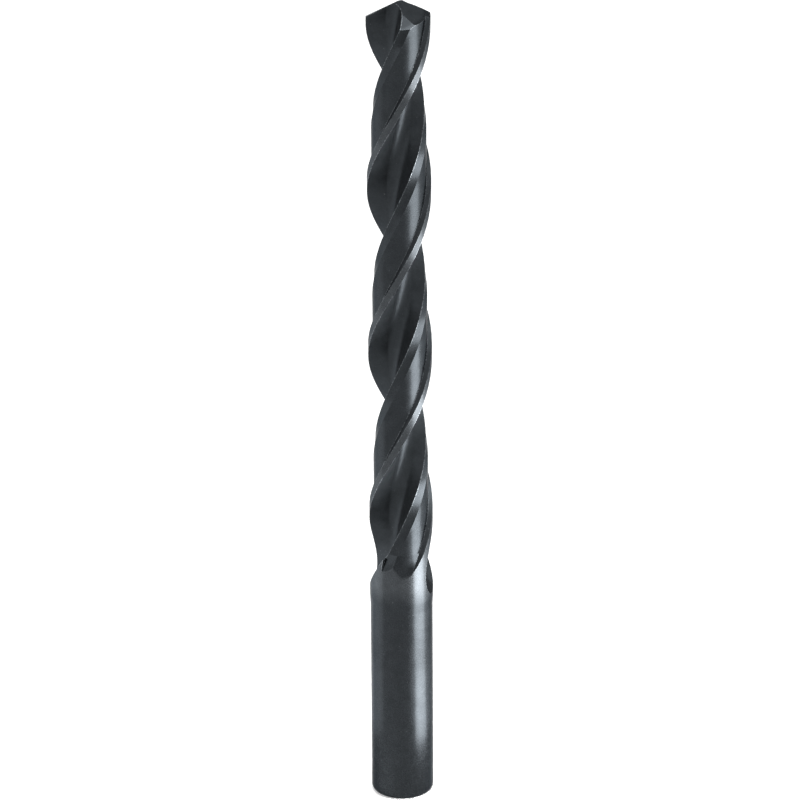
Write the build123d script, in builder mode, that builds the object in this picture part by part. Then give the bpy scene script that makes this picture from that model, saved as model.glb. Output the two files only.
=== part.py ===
"""Jobber twist drill with two right-hand flutes and a plain cylindrical shank.

The drill stands on its shank end: the origin is the middle of that end, +Z runs along the axis
to the point, and the two lips lie parallel to X. It is ground from one bar, so it is one solid.
"""
from build123d import *
from math import asin, cos, degrees, radians, sin, sqrt, tan
import os

# Driving dimensions, in millimetres and degrees
body_diameter = 9.525        # across the margins
shank_diameter = 9.35
overall_length = 127.0       # to the middle of the chisel edge
shank_end_radius = 1.0       # rounding of the end face's rim
neck_length = 1.5            # cone between the shank and the body
flute_lead = 52.4            # length of one whole turn of a flute
web_thickness = 1.5          # steel left between the two flutes
land_angle = 88.0            # from the leading corner of a land back to its heel
flute_length = 94.6          # from the point to where the flutes have come out
flute_runout_length = 10.3   # last stretch of that, over which they come out
flute_exit_angle = 72.0      # ahead of the leading corner, the way in which they come out
margin_width = 1.1
margin_wall_slope = 60.0     # of the wall that steps down from the margin to the clearance
body_clearance = 0.7         # depth below the margin at the foot of that wall
heel_clearance = 0.97        # depth below the margin at the heel
heel_strip_angle = 21.0      # breadth of the strip along the heel that slopes down to it
heel_strip_slope = 12.0
clearance_runout_length = 7.9  # from the end of the flutes up to where the clearance comes out
clearance_ramp_slope = 20.0  # at which it comes out
clearance_ramp_turn = 0.5    # share of the flutes' turn that this ramp keeps
clearance_ramp_hollow = 0.25  # how far the ramp's end dips below straight in its middle
clearance_ramp_lean = 14.0   # by which it comes out earlier at the heel than at the margin
point_angle = 126.5
lip_ahead = 0.78             # how far each lip lies ahead of the middle
lip_relief_angle = 12.0      # at which a flank falls away just behind its lip
flank_cone_angle = 67.7      # from the axis of the cone that a flank is part of to its side
flank_cone_start = 1.39      # from the middle back along the lip's line to that cone's tip
flank_overlap = 0.15         # how far each flank's cut goes on past the chisel edge
heel_relief_start = 1.9      # from the middle to where the steep relief of the heel is measured
heel_relief_depth = 1.41     # of that relief there, below the point where the lips would meet
heel_relief_slope = 47.8

# Sizes that follow
body_radius = body_diameter / 2
shank_radius = shank_diameter / 2
foot_radius = body_radius - body_clearance
heel_radius = body_radius - heel_clearance
margin_angle = degrees(margin_width / body_radius)
flute_end = overall_length - flute_length
full_flute_end = flute_end + flute_runout_length
full_clearance_end = flute_end + clearance_runout_length
half_point = radians(point_angle / 2)
corner_turn = degrees(asin(lip_ahead / body_radius))
reach = 1.6 * body_radius    # the cutters go at least this far from the axis


def flank_cone_axis():
    """The way from the flank cone's tip down its axis, which leans so that the flank falls away."""
    relief = radians(lip_relief_angle)
    along_lip = Vector(sin(half_point), 0, -cos(half_point))
    into_flank = Vector(
        -cos(relief) * cos(half_point),
        sin(relief),
        -cos(relief) * sin(half_point),
    )
    side = radians(flank_cone_angle)
    return along_lip * cos(side) + into_flank * sin(side)


def flank_cone_height():
    """Height of the flank cone's tip over the middle of the chisel edge, which lies on the cone."""
    axis = flank_cone_axis()
    to_middle = Vector(flank_cone_start, -lip_ahead, 0)
    narrowing = cos(radians(flank_cone_angle)) ** 2
    square = axis.Z**2 - narrowing
    linear = to_middle.dot(axis) * axis.Z
    constant = to_middle.dot(axis) ** 2 - narrowing * to_middle.dot(to_middle)
    return (linear + sqrt(linear**2 - square * constant)) / square


flank_cone_tip = Vector(-flank_cone_start, lip_ahead, overall_length + flank_cone_height())
lips_meet = flank_cone_tip.Z - flank_cone_start / tan(half_point)
corner_height = lips_meet - sqrt(body_radius**2 - lip_ahead**2) / tan(half_point)


def section_plane(height, turn_height=None, lift=0.0, lift_angle=0.0):
    """Plane of a cross-section, with its X through a leading corner, moved outwards by lift."""
    turned_at = height if turn_height is None else turn_height
    turn = radians(corner_turn - 360 * (corner_height - turned_at) / flute_lead)
    out = turn + radians(lift_angle)
    return Plane(
        origin=(lift * cos(out), lift * sin(out), height),
        x_dir=(cos(turn), sin(turn), 0),
        z_dir=(0, 0, 1),
    )


def polar(radius, angle):
    return Vector(radius * cos(radians(angle)), radius * sin(radians(angle)))


def flute_outline():
    """What a flute takes out, from the leading corner of one land to the heel of the other."""
    floor_radius = web_thickness / 2 / (sqrt(2) - 1)
    heel = polar(heel_radius, 180 - land_angle)
    with BuildLine() as outline:
        rake = Line((reach, 0), (floor_radius, 0))
        floor = RadiusArc(rake @ 1, (0, floor_radius), floor_radius)
        wall = Line(floor @ 1, heel)
        Polyline(wall @ 1, heel * (reach / heel_radius), (reach, reach), (reach, 0))
    return outline.line


def clearance_outline(hollow=None):
    """What the body clearance takes out, from behind the margin to past the heel."""
    wall_run = body_clearance / tan(radians(margin_wall_slope))
    wall_top = polar(body_radius, -margin_angle)
    wall_foot = polar(foot_radius, -margin_angle - degrees(wall_run / body_radius))
    past_wall = wall_top + (wall_top - wall_foot) * 2
    heel = polar(heel_radius, -land_angle)
    strip_run = heel_radius * radians(heel_strip_angle)
    strip_radius = heel_radius + strip_run * tan(radians(heel_strip_slope))
    strip_top = polar(strip_radius, heel_strip_angle - land_angle)
    past_heel = heel + (heel - strip_top) * 0.2
    middle = polar((foot_radius + strip_radius) / 2, (heel_strip_angle - margin_angle - land_angle) / 2)
    if hollow is not None:
        straight = (wall_foot + strip_top) / 2
        middle = straight * (1 - hollow / straight.length)
    with BuildLine() as outline:
        Line(past_wall, wall_foot)
        ThreePointArc(wall_foot, middle, strip_top)
        Polyline(
            strip_top,
            past_heel,
            past_heel * 2,
            polar(2 * reach, -land_angle / 2),
            past_wall * 2,
            past_wall,
        )
    return outline.line


def twisted_cutter(outline, bottom, top):
    """A cutter with one outline all the way, turning with the flutes."""
    with BuildPart() as cutter:
        with BuildLine() as axis_line:
            Line((0, 0, bottom), (0, 0, top))
        with BuildLine() as guide:
            Helix(pitch=flute_lead, height=top - bottom, radius=body_radius, center=(0, 0, bottom))
        with BuildSketch(section_plane(bottom)):
            add(outline)
            make_face()
        sweep(path=axis_line.wire(), binormal=guide.edge())
    return cutter.part


def outgoing_cutter(sections, ruled=False):
    """A cutter that comes out of the bar, through each of the planes with its outline there."""
    with BuildPart() as cutter:
        for plane, outline in sections:
            with BuildSketch(plane):
                add(outline)
                make_face()
        loft(ruled=ruled)
    return cutter.part


def flute_runout(steps=5):
    """The grinding wheel leaves the flute along an arc that is tangent to the flute's floor."""
    depth = 1.05 * body_radius
    wheel = (flute_runout_length**2 + depth**2) / (2 * depth)
    for step in range(steps + 1):
        along = flute_runout_length * step / steps
        lift = wheel - sqrt(wheel**2 - along**2)
        yield section_plane(full_flute_end - along, None, lift, flute_exit_angle), flute_outline()


def clearance_runout():
    """The clearance ends in a short ramp, hollowed so that it comes out last in its middle."""
    lift = 1.8 * heel_clearance
    run = lift / tan(radians(clearance_ramp_slope))
    ramp_end = section_plane(
        full_clearance_end - run,
        full_clearance_end - clearance_ramp_turn * run,
        lift,
        -(margin_angle + land_angle) / 2 - clearance_ramp_lean,
    )
    yield section_plane(full_clearance_end), clearance_outline()
    yield ramp_end, clearance_outline(clearance_ramp_hollow)


def flank_cutter():
    """Takes the bar away above one flank: all that is outside the cone, on this side of the chisel edge."""
    back = Vector(-lip_ahead, -lip_ahead) + Vector(-flank_overlap, flank_overlap)
    front = Vector(lip_ahead, lip_ahead) + Vector(-flank_overlap, flank_overlap)
    with BuildPart() as cutter:
        with BuildSketch(Plane.XY.offset(flank_cone_tip.Z - 1.3 * body_radius)):
            with BuildLine():
                Polyline(
                    back,
                    front,
                    (front.X, reach),
                    (reach, reach),
                    (reach, -reach),
                    (back.X, -reach),
                    close=True,
                )
            make_face()
        extrude(amount=2.6 * body_radius)
        with Locations(Plane(origin=flank_cone_tip, z_dir=flank_cone_axis())):
            Cone(
                bottom_radius=0,
                top_radius=4 * body_radius * tan(radians(flank_cone_angle)),
                height=4 * body_radius,
                align=(Align.CENTER, Align.CENTER, Align.MIN),
                mode=Mode.SUBTRACT,
            )
    return cutter.part


def heel_relief_cutter():
    """Takes the bar away above the flat that is ground behind a flank, down to the heel."""
    slope = tan(radians(heel_relief_slope))
    inner = (0, lips_meet - heel_relief_depth + heel_relief_start * slope)
    outer = (-reach, inner[1] - reach * slope)
    with BuildPart() as cutter:
        with BuildSketch(Plane.YZ):
            with BuildLine():
                Polyline(inner, outer, (-reach, lips_meet + reach), (0, lips_meet + reach), close=True)
            make_face()
        extrude(amount=reach, both=True)
    return cutter.part


cutters = [
    twisted_cutter(clearance_outline(), full_clearance_end, overall_length + 1),
    outgoing_cutter(clearance_runout(), ruled=True),
    twisted_cutter(flute_outline(), full_flute_end, overall_length + 1),
    outgoing_cutter(flute_runout()),
    flank_cutter(),
    heel_relief_cutter(),
]

with BuildPart() as twist_drill:
    with BuildSketch(Plane.XZ):
        with BuildLine():
            Polyline(
                (0, 0),
                (shank_radius, 0),
                (shank_radius, flute_end - neck_length),
                (body_radius, flute_end),
                (body_radius, overall_length + 0.5),
                (0, overall_length + 0.5),
                close=True,
            )
        make_face()
    revolve(axis=Axis.Z)
    fillet(twist_drill.faces().sort_by(Axis.Z)[0].edges(), shank_end_radius)
    for side in (0, 180):
        for cutter in cutters:
            add(cutter, rotation=(0, 0, side), mode=Mode.SUBTRACT)

twist_drill.part.label = "twist_drill"
os.makedirs("parts", exist_ok=True)
export_step(twist_drill.part, "parts/twist_drill.step")
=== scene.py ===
"""Looks of a jobber twist drill in black oxide steel, standing on its shank end on a pale floor."""

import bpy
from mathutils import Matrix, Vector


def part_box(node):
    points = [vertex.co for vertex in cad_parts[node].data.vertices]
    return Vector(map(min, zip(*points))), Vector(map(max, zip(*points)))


bl_info = {
    "name": "Black oxide twist drill",
    "version": (1, 0, 0),
    "blender": (4, 5, 0),
    "location": "3D View > Sidebar > Twist Drill",
    "description": "Dresses a packed twist drill in black oxide steel and sets up the studio round it",
    "category": "Object",
}

from math import cos, pi, radians, sin, tan

import bmesh
import bpy
from bpy.props import FloatProperty, FloatVectorProperty, PointerProperty
from mathutils import Matrix, Vector

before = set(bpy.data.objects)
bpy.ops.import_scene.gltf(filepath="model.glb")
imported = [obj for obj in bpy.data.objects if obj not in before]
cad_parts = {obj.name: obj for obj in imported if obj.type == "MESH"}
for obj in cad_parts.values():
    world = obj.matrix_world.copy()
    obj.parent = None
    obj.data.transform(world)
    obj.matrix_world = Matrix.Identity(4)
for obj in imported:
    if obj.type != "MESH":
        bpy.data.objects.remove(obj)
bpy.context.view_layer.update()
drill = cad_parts["twist_drill"]
lowest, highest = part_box("twist_drill")

MM = 0.001
BODY_RADIUS = (highest.x - lowest.x) / 2
POINT_HEIGHT = highest.z
FLUTE_LEAD = 52.4 * MM
FLUTE_END = POINT_HEIGHT - 94.6 * MM

# Grinding lines and specks in each metre, across and along the drill
ROUND_LINES = (150, 150, 9000)
ALONG_LINES = (5200, 5200, 110)
SPECKS = 3600

# How far the oxide is worn, from 0 to 1, and how wide the lighter line along an edge is, which is partly
# worn oxide and partly a painted highlight
MARGIN_WEAR = 0.14
SPECK_WEAR = 0.35
EDGE_WIDTH = 0.24 * MM

# What differs in the flutes: more of the oxide is matt and rougher, and the colour is lighter there and
# on the lands' side walls as painted light against their shade
FLUTE_MATT = 0.4
FLUTE_ROUGHER = 0.08
FLUTE_PAINTED_FILL = 0.25

RELIEF_DEPTH = 0.005 * MM

# Low cards of light: how far from the axis each begins and ends, and its share of the level
CARD_STEPS = (
    (0.012, 0.026, 1.6),
    (0.026, 0.05, 1.6),
    (0.05, 0.09, 1.2),
    (0.09, 0.15, 0.85),
    (0.15, 0.25, 0.82),
)
CARD_HEIGHT = 0.45  # of a card's middle, as a share of its distance
CARD_AIM = 0.78  # height on the axis that it shines at, as a share of its distance
CARD_LENGTH = 0.78  # as a share of its step

# The camera is measured from a place on the axis, in body radii below the point. The picture's
# middle lies this many pixels to the left of that place and below it
MEASURED_BELOW_POINT = 12.5
MIDDLE_LEFT = 0.2234
MIDDLE_BELOW = 21.848
PICTURE_SIZE = 800
SENSOR_WIDTH = 36


class DrillFinish(bpy.types.PropertyGroup):
    """Colours and roughness of the black oxide steel"""

    oxide_color: FloatVectorProperty(
        name="Oxide colour",
        description="Colour of the black oxide skin, a blue black",
        subtype="COLOR",
        size=3,
        min=0.0,
        max=1.0,
        default=(0.0222, 0.0249, 0.0274),
    )
    # Lighter colour for worn oxide on margins and specks, and for the lines along edges, where it is
    # partly a painted highlight
    worn_and_highlight_color: FloatVectorProperty(
        name="Worn colour",
        description="Colour where grinding and handling have thinned the oxide",
        subtype="COLOR",
        size=3,
        min=0.0,
        max=1.0,
        default=(0.15, 0.162, 0.174),
    )
    edge_color: FloatVectorProperty(
        name="Glancing tint",
        description="How much of a mirrored light comes back at a glancing angle",
        subtype="COLOR",
        size=3,
        min=0.0,
        max=1.0,
        default=(0.52, 0.53, 0.54),
    )
    mirror_share: FloatProperty(
        name="Mirror share",
        description="How much of the oxide mirrors as metal does, the rest being matt",
        subtype="FACTOR",
        min=0.0,
        max=1.0,
        default=0.95,
    )
    roughness: FloatProperty(
        name="Roughness",
        description="Roughness of the satin oxide",
        subtype="FACTOR",
        min=0.05,
        max=1.0,
        default=0.27,
    )
    line_stretch: FloatProperty(
        name="Grinding lines",
        description="How far the grinding lines stretch a highlight along the drill",
        subtype="FACTOR",
        min=0.0,
        max=1.0,
        default=0.25,
    )
    mottling_size: FloatProperty(
        name="Mottling size",
        description="Size of the faint clouds in the oxide",
        subtype="DISTANCE",
        unit="LENGTH",
        min=0.0001,
        max=0.01,
        default=0.0016,
    )


class DrillStudio(bpy.types.PropertyGroup):
    """Floor, lamps and camera round the drill"""

    floor_color: FloatVectorProperty(
        name="Floor colour",
        description="Colour of the plain pale floor",
        subtype="COLOR",
        size=3,
        min=0.0,
        max=1.0,
        default=(0.86, 0.86, 0.86),
    )
    floor_glow: FloatProperty(
        name="Floor glow",
        description="What the camera and mirrored rays see on the floor besides the lamps' light",
        min=0.0,
        default=0.35,
    )
    floor_size: FloatProperty(
        name="Floor size",
        description="Side of the square floor",
        subtype="DISTANCE",
        unit="LENGTH",
        default=4.0,
    )
    right_level: FloatProperty(
        name="Right cards",
        description="Radiance of the low cards of light on the right, which the steel mirrors",
        min=0.0,
        default=3.65,
    )
    right_fill: FloatProperty(
        name="Right fill",
        description="Radiance of the wider low cards on the right, which ease the highlight's sides",
        min=0.0,
        default=1.0,
    )
    left_level: FloatProperty(
        name="Left cards",
        description="Radiance of the low cards of light on the left",
        min=0.0,
        default=0.45,
    )
    back_level: FloatProperty(
        name="Back light",
        description="Radiance of the soft light high behind the drill, which lights the floor",
        min=0.0,
        default=4.2,
    )
    front_level: FloatProperty(
        name="Front light",
        description="Radiance of the soft light high in front of the drill",
        min=0.0,
        default=9.5,
    )
    side_level: FloatProperty(
        name="Side light",
        description="Radiance of the soft light in front on the left, at the drill's own height",
        min=0.0,
        default=2.0,
    )
    strip_level: FloatProperty(
        name="Right strip",
        description="Radiance of the long low light on the right",
        min=0.0,
        default=4.5,
    )
    high_level: FloatProperty(
        name="Right softbox",
        description="Radiance of the small soft light higher up on the right",
        min=0.0,
        default=2.4,
    )
    world_level: FloatProperty(
        name="Room light",
        description="Even light from all round",
        min=0.0,
        default=0.25,
    )
    camera_elevation: FloatProperty(
        name="Camera elevation",
        description="How far the camera looks down on the drill",
        subtype="ANGLE",
        unit="ROTATION",
        default=0.39653,
    )
    camera_roll: FloatProperty(
        name="Camera roll",
        description="How far the camera is turned about its own line of sight",
        subtype="ANGLE",
        unit="ROTATION",
        default=0.00624,
    )
    camera_distance: FloatProperty(
        name="Camera distance",
        description="From the camera to the point of the drill's axis that it is measured from",
        subtype="DISTANCE",
        unit="LENGTH",
        default=1.10664,
    )
    camera_lens: FloatProperty(
        name="Focal length",
        description="For a sensor 36 mm wide",
        subtype="DISTANCE_CAMERA",
        unit="CAMERA",
        default=335.15,
    )


class NodeBuilder:
    """Adds nodes to a material's or the world's tree, and links what it is given to their inputs."""

    def __init__(self, tree):
        self.tree = tree
        tree.nodes.clear()

    def add(self, kind, inputs=(), **settings):
        made = self.tree.nodes.new(kind)
        for name, value in settings.items():
            setattr(made, name, value)
        for name, value in dict(inputs).items():
            socket = made.inputs[name]
            if isinstance(value, bpy.types.NodeSocket):
                self.tree.links.new(value, socket)
            else:
                socket.default_value = value
        return made

    def math(self, operation, a, b=0.0, c=0.0, clamp=False):
        inputs = {0: a, 1: b, 2: c}
        return self.add("ShaderNodeMath", inputs, operation=operation, use_clamp=clamp).outputs[0]

    def mix_color(self, share, a, b):
        made = self.add("ShaderNodeMix", data_type="RGBA")
        for socket, value in ((made.inputs[0], share), (made.inputs[6], a), (made.inputs[7], b)):
            if isinstance(value, bpy.types.NodeSocket):
                self.tree.links.new(value, socket)
            elif hasattr(value, "__len__"):
                socket.default_value = (*value, 1.0)[:4]
            else:
                socket.default_value = value
        return made.outputs[2]

    def ramp(self, value, low, high, out_low=0.0, out_high=1.0, smooth=True):
        inputs = {0: value, 1: low, 2: high, 3: out_low, 4: out_high}
        kind = "SMOOTHSTEP" if smooth else "LINEAR"
        return self.add("ShaderNodeMapRange", inputs, interpolation_type=kind).outputs[0]

    def noise(self, place, scale, detail=2.0, roughness=0.5):
        inputs = {"Vector": place, "Scale": scale, "Detail": detail, "Roughness": roughness}
        return self.add("ShaderNodeTexNoise", inputs).outputs["Fac"]


def untwisted_place(build, place):
    """Turns each cross-section back by the flutes' turn, so that a flute runs straight along Z."""
    parts = build.add("ShaderNodeSeparateXYZ", {0: place}).outputs
    turn = build.math("MULTIPLY", parts[2], -2 * pi / FLUTE_LEAD)
    turned = build.add(
        "ShaderNodeVectorRotate", {"Vector": place, "Angle": turn}, rotation_type="Z_AXIS"
    )
    return turned.outputs[0]


def black_oxide_steel(finish):
    """Satin black oxide over ground steel: clouds, specks, grinding lines, lighter lines on edges that
    are partly thinner oxide and partly a painted highlight, and painted light in the flutes.
    """
    material = bpy.data.materials.new("black_oxide_steel")
    material.use_nodes = True
    build = NodeBuilder(material.node_tree)
    place = build.add("ShaderNodeTexCoord").outputs["Object"]
    parts = build.add("ShaderNodeSeparateXYZ", {0: place}).outputs
    flat = build.add("ShaderNodeCombineXYZ", {0: parts[0], 1: parts[1]}).outputs[0]
    radius = build.add("ShaderNodeVectorMath", {0: flat}, operation="LENGTH").outputs["Value"]
    height = parts[2]
    straight = untwisted_place(build, place)

    # Where on the drill a point lies, from 0 to 1
    shader_normal = build.add("ShaderNodeNewGeometry").outputs["Normal"]
    outwards = build.add("ShaderNodeVectorMath", {0: flat}, operation="NORMALIZE").outputs[0]
    facing = build.add(
        "ShaderNodeVectorMath", {0: shader_normal, 1: outwards}, operation="DOT_PRODUCT"
    ).outputs["Value"]
    tilt = build.add("ShaderNodeSeparateXYZ", {0: shader_normal}).outputs[2]
    wall = build.math("MULTIPLY", build.ramp(facing, 0.92, 0.6), build.ramp(tilt, 0.6, 0.35))
    fluted = build.ramp(height, FLUTE_END - 0.5 * MM, FLUTE_END + 3 * MM)
    deep = build.ramp(radius, BODY_RADIUS * 0.82, BODY_RADIUS * 0.72)
    in_flute = build.math("MULTIPLY", fluted, build.math("MAXIMUM", deep, wall))
    outer = build.ramp(radius, BODY_RADIUS * 0.975, BODY_RADIUS * 0.99)
    margin = build.math("MULTIPLY", fluted, outer)

    # Lines left by grinding: round the shank and lands, along the flutes
    round_lines = build.add("ShaderNodeMapping", {"Vector": place, "Scale": ROUND_LINES}).outputs[0]
    along_lines = build.add("ShaderNodeMapping", {"Vector": straight, "Scale": ALONG_LINES}).outputs[0]
    round_grain = build.noise(round_lines, 1.0, 3.0, 0.6)
    along_grain = build.noise(along_lines, 1.0, 3.0, 0.6)
    grain = build.add(
        "ShaderNodeMix", {0: in_flute, 2: round_grain, 3: along_grain}, data_type="FLOAT"
    ).outputs[0]

    # Clouds and specks of the oxide
    clouds = build.noise(place, 1 / finish.mottling_size, 4.0, 0.6)
    fine_clouds = build.noise(place, 7 / finish.mottling_size, 3.0, 0.6)
    speck_noise = build.noise(place, SPECKS, 1.0, 0.5)
    specks = build.ramp(speck_noise, 0.76, 0.82)

    # Lighter colour along sharp edges: partly thinner oxide, partly a painted highlight
    rounded = build.add("ShaderNodeBevel", {"Radius": EDGE_WIDTH}, samples=8).outputs[0]
    likeness = build.add(
        "ShaderNodeVectorMath", {0: shader_normal, 1: rounded}, operation="DOT_PRODUCT"
    ).outputs["Value"]
    edge = build.ramp(likeness, 0.985, 0.85)
    wear_and_edge_highlight = build.math("MULTIPLY", edge, build.ramp(fine_clouds, 0.35, 0.65), clamp=True)
    wear_and_edge_highlight = build.math("MAXIMUM", wear_and_edge_highlight, build.math("MULTIPLY", margin, MARGIN_WEAR))
    wear_and_edge_highlight = build.math("MAXIMUM", wear_and_edge_highlight, build.math("MULTIPLY", specks, SPECK_WEAR))

    tone_and_painted_fill = build.math("MULTIPLY_ADD", clouds, 0.5, 0.75)
    tone_and_painted_fill = build.math("MULTIPLY", tone_and_painted_fill, build.math("MULTIPLY_ADD", fine_clouds, 0.5, 0.75))
    # Painted light: lighter colour in the flutes and on the side walls, lifting their shade
    tone_and_painted_fill = build.math("MULTIPLY", tone_and_painted_fill, build.math("MULTIPLY_ADD", in_flute, FLUTE_PAINTED_FILL, 1.0))
    # The worn colour is mixed in on margins, specks and edges; along the edges it is partly a painted
    # highlight
    color = build.mix_color(wear_and_edge_highlight, tuple(finish.oxide_color), tuple(finish.worn_and_highlight_color))
    color = build.add(
        "ShaderNodeVectorMath", {0: color, "Scale": tone_and_painted_fill}, operation="SCALE"
    ).outputs["Vector"]

    roughness = build.math("MULTIPLY_ADD", fine_clouds, 0.10, finish.roughness - 0.05)
    roughness = build.math("MULTIPLY_ADD", clouds, 0.08, build.math("SUBTRACT", roughness, 0.04))
    roughness = build.math("MULTIPLY_ADD", edge, -0.08, roughness)
    roughness = build.math("MULTIPLY_ADD", in_flute, FLUTE_ROUGHER, roughness)
    mirroring = build.math("MULTIPLY_ADD", in_flute, -FLUTE_MATT, finish.mirror_share)

    relief = build.math("MULTIPLY_ADD", grain, 0.45, build.math("MULTIPLY", fine_clouds, 0.25))
    bump_inputs = {"Height": relief, "Strength": 0.25, "Distance": RELIEF_DEPTH}
    bump = build.add("ShaderNodeBump", bump_inputs).outputs[0]
    upwards = build.add("ShaderNodeCombineXYZ", {2: 1.0}).outputs[0]
    shader = build.add(
        "ShaderNodeBsdfPrincipled",
        {
            "Base Color": color,
            "Roughness": roughness,
            "Normal": bump,
            "Tangent": upwards,
            "Anisotropic": finish.line_stretch,
            "Metallic": mirroring,
            "Specular IOR Level": 0.0,
            "Specular Tint": (*finish.edge_color, 1.0),
        },
        distribution="GGX",
    )
    build.add("ShaderNodeOutputMaterial", {"Surface": shader.outputs[0]})
    return material


def seen_by(build):
    """1 for what the camera sees, directly, mirrored or through glass, and 0 for all other light."""
    rays = build.add("ShaderNodeLightPath").outputs
    seen = build.math("MAXIMUM", rays["Is Camera Ray"], rays["Is Glossy Ray"])
    return build.math("MAXIMUM", seen, rays["Is Transmission Ray"])


def pale_floor_material(studio):
    """Plain pale floor that reads as white and keeps the drill's shadow."""
    material = bpy.data.materials.new("pale_floor")
    material.use_nodes = True
    build = NodeBuilder(material.node_tree)
    place = build.add("ShaderNodeTexCoord").outputs["Object"]
    grain = build.noise(place, 900.0, 2.0, 0.5)
    bump = build.add("ShaderNodeBump", {"Height": grain, "Strength": 0.04, "Distance": 0.1 * MM})
    matte = build.add(
        "ShaderNodeBsdfDiffuse",
        {"Color": (*studio.floor_color, 1.0), "Roughness": 0.4, "Normal": bump.outputs[0]},
    )
    strength = build.math("MULTIPLY", seen_by(build), studio.floor_glow)
    glow = build.add("ShaderNodeEmission", {"Color": (1, 1, 1, 1), "Strength": strength})
    both = build.add("ShaderNodeAddShader", {0: matte.outputs[0], 1: glow.outputs[0]})
    build.add("ShaderNodeOutputMaterial", {"Surface": both.outputs[0]})
    material.cycles.emission_sampling = "NONE"
    return material


def soft_light(name, centre, target, size, radiance, spread=pi):
    """A rectangular lamp that shines from centre to target, with a face of that radiance."""
    lamp = bpy.data.lights.new(name, "AREA")
    lamp.shape = "RECTANGLE"
    lamp.size, lamp.size_y = size
    lamp.spread = spread
    lamp.energy = radiance * pi * size[0] * size[1]
    lamp_object = bpy.data.objects.new(name, lamp)
    way = Vector(target) - Vector(centre)
    turn = way.to_track_quat("-Z", "Y").to_matrix().to_4x4()
    lamp_object.matrix_world = Matrix.Translation(centre) @ turn
    lamp_object.visible_camera = False
    bpy.context.scene.collection.objects.link(lamp_object)
    return lamp_object


def round_about(distance, azimuth, height):
    """A place at that azimuth, counted from the camera's side to the right."""
    return Vector((distance * sin(azimuth), -distance * cos(azimuth), height))


class OBJECT_OT_drill_dress_steel(bpy.types.Operator):
    """Give the drill its black oxide steel"""

    bl_idname = "object.drill_dress_steel"
    bl_label = "Dress Drill in Black Oxide"

    def execute(self, context):
        if not drill.data.materials:
            raise RuntimeError("the drill has no material slot")
        material = black_oxide_steel(context.scene.drill_finish)
        for number in range(len(drill.data.materials)):
            drill.material_slots[number].material = material
        return {"FINISHED"}


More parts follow.
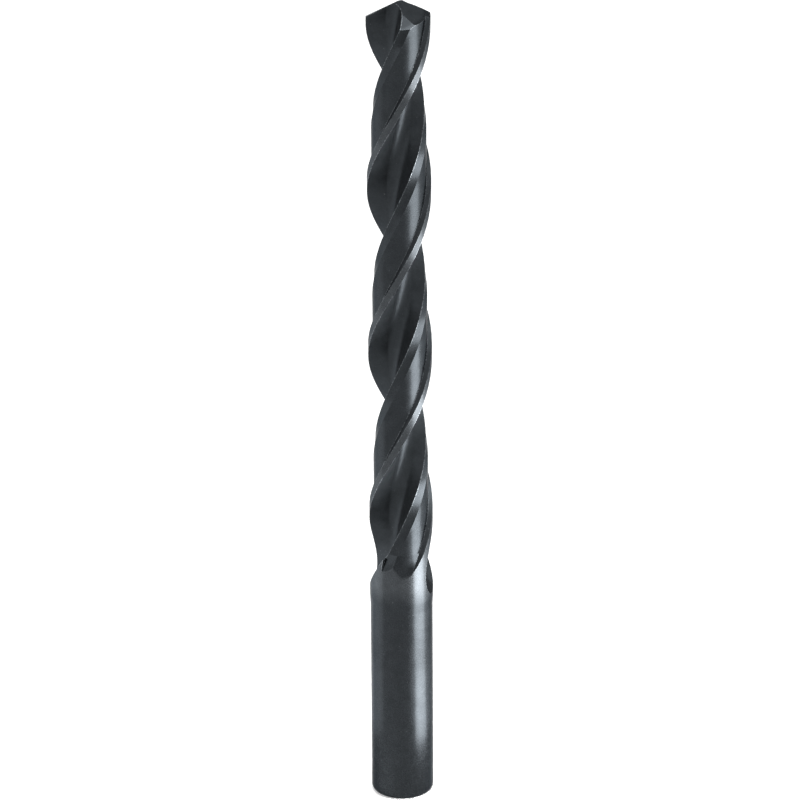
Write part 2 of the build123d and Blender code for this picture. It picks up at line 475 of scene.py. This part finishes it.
class OBJECT_OT_drill_set_stage(bpy.types.Operator):
    """Add the floor, the lamps, the room light and the camera"""

    bl_idname = "object.drill_set_stage"
    bl_label = "Set Up Studio"

    def execute(self, context):
        studio = context.scene.drill_studio
        self.add_floor(studio)
        self.add_lamps(studio)
        self.light_room(context.scene, studio)
        self.add_camera(context.scene, studio)
        return {"FINISHED"}

    def add_floor(self, studio):
        bm = bmesh.new()
        bmesh.ops.create_grid(bm, x_segments=1, y_segments=1, size=studio.floor_size / 2)
        mesh = bpy.data.meshes.new("floor")
        bm.to_mesh(mesh)
        bm.free()
        mesh.materials.append(pale_floor_material(studio))
        floor = bpy.data.objects.new("floor", mesh)
        bpy.context.scene.collection.objects.link(floor)

    def add_lamps(self, studio):
        middle = Vector((0, 0, POINT_HEIGHT / 2))
        low_middle = Vector((0, 0, 0.066))
        runout = Vector((0, 0, 0.03))
        side = round_about(0.5, radians(-50), 0.126)
        strip = round_about(0.8, radians(64), 0.13)
        high = round_about(0.44, radians(66), 0.44)
        for name, centre, target, size, level in (
            ("back_softbox", Vector((-0.1, 0.65, 0.85)), middle, (0.8, 0.8), studio.back_level),
            ("front_softbox", Vector((0, -0.42, 0.98)), middle, (0.46, 0.36), studio.front_level),
            ("side_softbox", side, low_middle, (0.34, 0.17), studio.side_level),
            ("right_strip", strip, low_middle, (0.6, 0.12), studio.strip_level),
            ("right_softbox", high, runout, (0.18, 0.18), studio.high_level),
        ):
            soft_light(name, centre, target, size, level)
        self.add_cards("right_card", radians(67), radians(21), studio.right_level)
        self.add_cards("right_wide_card", radians(80), radians(52), studio.right_fill)
        self.add_cards("left_card", radians(-108), radians(38), studio.left_level)

    def add_cards(self, name, azimuth, half_width, level):
        """Low cards of light in steps, further out and higher up, so that each height mirrors one."""
        for number, (near, far, gain) in enumerate(CARD_STEPS, 1):
            distance = (near + far) / 2
            centre = round_about(distance, azimuth, CARD_HEIGHT * distance)
            target = Vector((0, 0, CARD_AIM * distance))
            size = (2 * distance * tan(half_width), CARD_LENGTH * (far - near))
            soft_light(f"{name}_{number}", centre, target, size, level * gain, spread=radians(110))

    def light_room(self, scene, studio):
        world = bpy.data.worlds.new("room")
        scene.world = world
        world.use_nodes = True
        build = NodeBuilder(world.node_tree)
        level = build.ramp(seen_by(build), 0.0, 1.0, studio.world_level, 1.0, smooth=False)
        background = build.add("ShaderNodeBackground", {"Color": (1, 1, 1, 1), "Strength": level})
        build.add("ShaderNodeOutputWorld", {"Surface": background.outputs[0]})
        world.cycles.sampling_method = "NONE"

    def add_camera(self, scene, studio):
        """The camera looks past the place that it is measured from, so that it needs no shift."""
        elevation, roll = studio.camera_elevation, studio.camera_roll
        onward = Vector((0, cos(elevation), -sin(elevation)))
        upright = Vector((0, sin(elevation), cos(elevation)))
        across = Vector((cos(roll), 0, 0)) - upright * sin(roll)
        upright = Vector((sin(roll), 0, 0)) + upright * cos(roll)
        measured_from = Vector((0, 0, POINT_HEIGHT - MEASURED_BELOW_POINT * BODY_RADIUS))
        eye = measured_from - onward * studio.camera_distance
        pixel = SENSOR_WIDTH / PICTURE_SIZE / studio.camera_lens
        onward = onward - across * (MIDDLE_LEFT * pixel) - upright * (MIDDLE_BELOW * pixel)
        onward = onward.normalized()
        across = (across - onward * across.dot(onward)).normalized()
        upright = across.cross(onward)
        camera = bpy.data.cameras.new("camera")
        camera.sensor_width = SENSOR_WIDTH
        camera.lens = studio.camera_lens
        camera.clip_start = 0.01
        camera.clip_end = 20
        camera_object = bpy.data.objects.new("camera", camera)
        turn = Matrix((across, upright, -onward)).transposed().to_4x4()
        camera_object.matrix_world = Matrix.Translation(eye) @ turn
        scene.collection.objects.link(camera_object)
        scene.camera = camera_object
        scene.view_settings.view_transform = "Standard"


class VIEW3D_PT_twist_drill(bpy.types.Panel):
    """Steps and settings of the twist drill"""

    bl_label = "Twist Drill"
    bl_idname = "VIEW3D_PT_twist_drill"
    bl_space_type = "VIEW_3D"
    bl_region_type = "UI"
    bl_category = "Twist Drill"

    def draw(self, context):
        column = self.layout.column()
        for settings, operator in (
            (context.scene.drill_finish, OBJECT_OT_drill_dress_steel),
            (context.scene.drill_studio, OBJECT_OT_drill_set_stage),
        ):
            for name in settings.bl_rna.properties.keys():
                if name not in {"rna_type", "name"}:
                    column.prop(settings, name)
            column.operator(operator.bl_idname)
            column.separator()


classes = (
    DrillFinish,
    DrillStudio,
    OBJECT_OT_drill_dress_steel,
    OBJECT_OT_drill_set_stage,
    VIEW3D_PT_twist_drill,
)


def register():
    for cls in classes:
        bpy.utils.register_class(cls)
    bpy.types.Scene.drill_finish = PointerProperty(type=DrillFinish)
    bpy.types.Scene.drill_studio = PointerProperty(type=DrillStudio)


def unregister():
    del bpy.types.Scene.drill_studio
    del bpy.types.Scene.drill_finish
    for cls in reversed(classes):
        bpy.utils.unregister_class(cls)


def main():
    register()
    bpy.ops.object.drill_dress_steel()
    bpy.ops.object.drill_set_stage()


if __name__ == "__main__":
    main()
